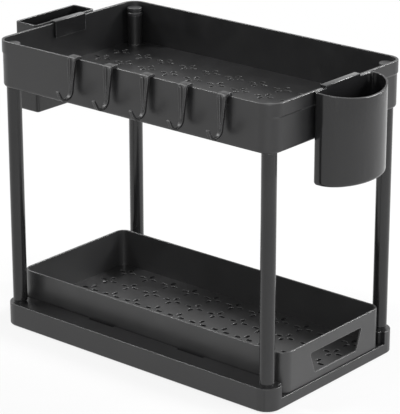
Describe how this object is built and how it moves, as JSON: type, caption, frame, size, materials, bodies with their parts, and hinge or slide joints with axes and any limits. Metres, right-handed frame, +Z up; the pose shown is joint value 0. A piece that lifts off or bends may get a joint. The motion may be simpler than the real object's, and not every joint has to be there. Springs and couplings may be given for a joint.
{
  "type": "under sink organizer",
  "caption": "Two-tier under-sink organizer: perforated top tray on posts over a base with a sliding perforated drawer, with rim hooks, a hanging cup and a hanging box.",
  "frame": {"origin": "on the floor plane, under the middle of the base", "axes": "+X along the length, to the short side where the drawer slides out and the cup hangs; +Y to the rear, away from the long side with the hooks; +Z up"},
  "size_m": [0.4533, 0.2507, 0.3333],
  "materials": {
    "base_plastic": "satin moulded plastic",
    "drawer_plastic": "satin moulded plastic",
    "tray_plastic": "satin moulded plastic",
    "hanger_plastic": "satin moulded plastic",
    "post_plastic": "satin moulded plastic",
    "cap_plastic": "satin moulded plastic",
    "hook_plastic": "satin moulded plastic",
    "pad_rubber": "matte rubber"
  },
  "bodies": {
    "organizer": {"base_tray": "base_plastic", "top_tray": "tray_plastic", "post_front_left": "post_plastic", "post_front_right": "post_plastic", "post_rear_left": "post_plastic", "post_rear_right": "post_plastic", "post_cap_front_left": "cap_plastic", "post_cap_front_right": "cap_plastic", "post_cap_rear_left": "cap_plastic", "post_cap_rear_right": "cap_plastic", "foot_pad_front_left": "pad_rubber", "foot_pad_front_right": "pad_rubber", "foot_pad_rear_left": "pad_rubber", "foot_pad_rear_right": "pad_rubber"},
    "drawer": {"drawer": "drawer_plastic"},
    "hanging_cup": {"hanging_cup": "hanger_plastic"},
    "hanging_box": {"hanging_box": "hanger_plastic"},
    "hook_1": {"hook_1": "hook_plastic"},
    "hook_2": {"hook_2": "hook_plastic"},
    "hook_3": {"hook_3": "hook_plastic"},
    "hook_4": {"hook_4": "hook_plastic"},
    "hook_5": {"hook_5": "hook_plastic"}
  },
  "joints": [
    {"name": "drawer_slide", "type": "slide", "parent": "organizer", "child": "drawer", "axis": [1, 0, 0], "range_m": [0, 0.18]},
    {"name": "cup_lift", "type": "slide", "parent": "organizer", "child": "hanging_cup", "axis": [0, 0, 1], "range_m": [0, 0.1]},
    {"name": "box_lift", "type": "slide", "parent": "organizer", "child": "hanging_box", "axis": [0, 0, 1], "range_m": [0, 0.1]},
    {"name": "hook_1_lift", "type": "slide", "parent": "organizer", "child": "hook_1", "axis": [0, 0, 1], "range_m": [0, 0.05]},
    {"name": "hook_2_lift", "type": "slide", "parent": "organizer", "child": "hook_2", "axis": [0, 0, 1], "range_m": [0, 0.05]},
    {"name": "hook_3_lift", "type": "slide", "parent": "organizer", "child": "hook_3", "axis": [0, 0, 1], "range_m": [0, 0.05]},
    {"name": "hook_4_lift", "type": "slide", "parent": "organizer", "child": "hook_4", "axis": [0, 0, 1], "range_m": [0, 0.05]},
    {"name": "hook_5_lift", "type": "slide", "parent": "organizer", "child": "hook_5", "axis": [0, 0, 1], "range_m": [0, 0.05]}
  ]
}
